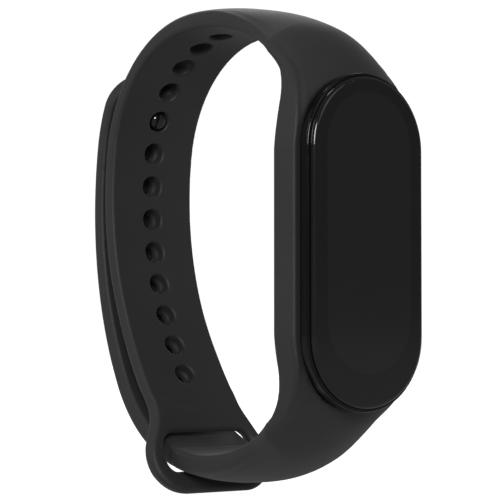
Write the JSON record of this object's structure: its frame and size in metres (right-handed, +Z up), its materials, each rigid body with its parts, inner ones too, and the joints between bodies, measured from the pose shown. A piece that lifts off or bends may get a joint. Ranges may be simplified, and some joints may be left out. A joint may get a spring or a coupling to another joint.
{
  "type": "fitness tracker band",
  "caption": "Closed wristband with a slim pill-shaped tracker capsule in a moulded silicone ring, threaded end loop, row of adjustment holes and push-in stud.",
  "frame": {"origin": "on the axis of the wrist opening, level with the middle of the capsule", "axes": "X along the wrist, -Y out of the display, +Z up along the capsule towards the upper strap"},
  "size_m": [0.0224, 0.0571, 0.0707],
  "materials": {
    "silicone": "matte black silicone",
    "stud_metal": "polished black coated metal",
    "case_plastic": "glossy black",
    "glass": "polished black-bordered glass",
    "display": "dark display panel",
    "adhesive": "black adhesive",
    "clear_adhesive": "clear optical adhesive",
    "flex": "amber polyimide",
    "bracket": "fine texture",
    "steel": "bright",
    "cell": "satin pouch foil",
    "board": "solder mask",
    "chip": "moulded package",
    "shield": "tinned sheet",
    "copper": "plated strip",
    "gold": "plated",
    "tungsten": "sintered",
    "lens": "polished dark lens",
    "led": "clear package",
    "diode": "dark package",
    "seal": "matte",
    "magnet": "nickel plated"
  },
  "bodies": {
    "root": {"silicone_strap": "silicone"},
    "capsule": {"capsule_case": "case_plastic", "cover_glass": "glass", "sensor_window": "lens", "charging_contacts": "gold", "glass_adhesive": "adhesive", "optical_adhesive": "clear_adhesive", "display_panel": "display", "display_flex": "flex", "display_connector": "chip", "mid_bracket": "bracket", "bracket_screws": "steel", "battery": "cell", "battery_flex": "flex", "main_board": "board", "processor_chip": "chip", "memory_chip": "chip", "motion_sensor": "chip", "shield_can": "shield", "antenna": "copper", "motor_case": "steel", "motor_bush": "gold", "sensor_barrier": "bracket", "sensor_leds": "led", "photodiode": "diode", "contact_seals": "seal", "charging_magnets": "magnet"},
    "motor_rotor": {"motor_shaft": "steel", "motor_weight": "tungsten"},
    "peel_end": {"strap_tip": "silicone", "clasp_stud": "stud_metal", "stud_cap": "stud_metal"}
  },
  "joints": [
    {"name": "capsule_eject", "type": "slide", "parent": "root", "child": "capsule", "axis": [0, -1, 0], "range_m": [0, 0.014]},
    {"name": "strap_peel", "type": "hinge", "parent": "root", "child": "peel_end", "pos_m": [0, 0.0283, 0.00615], "axis": [-1, 0, 0], "range_deg": [0, 55], "stiffness_Nm_per_rad": 0.004, "springref_deg": -5.73},
    {"name": "motor_spin", "type": "hinge", "parent": "capsule", "child": "motor_rotor", "pos_m": [0, -0.024, 0.0168], "axis": [1, 0, 0], "continuous": true}
  ]
}
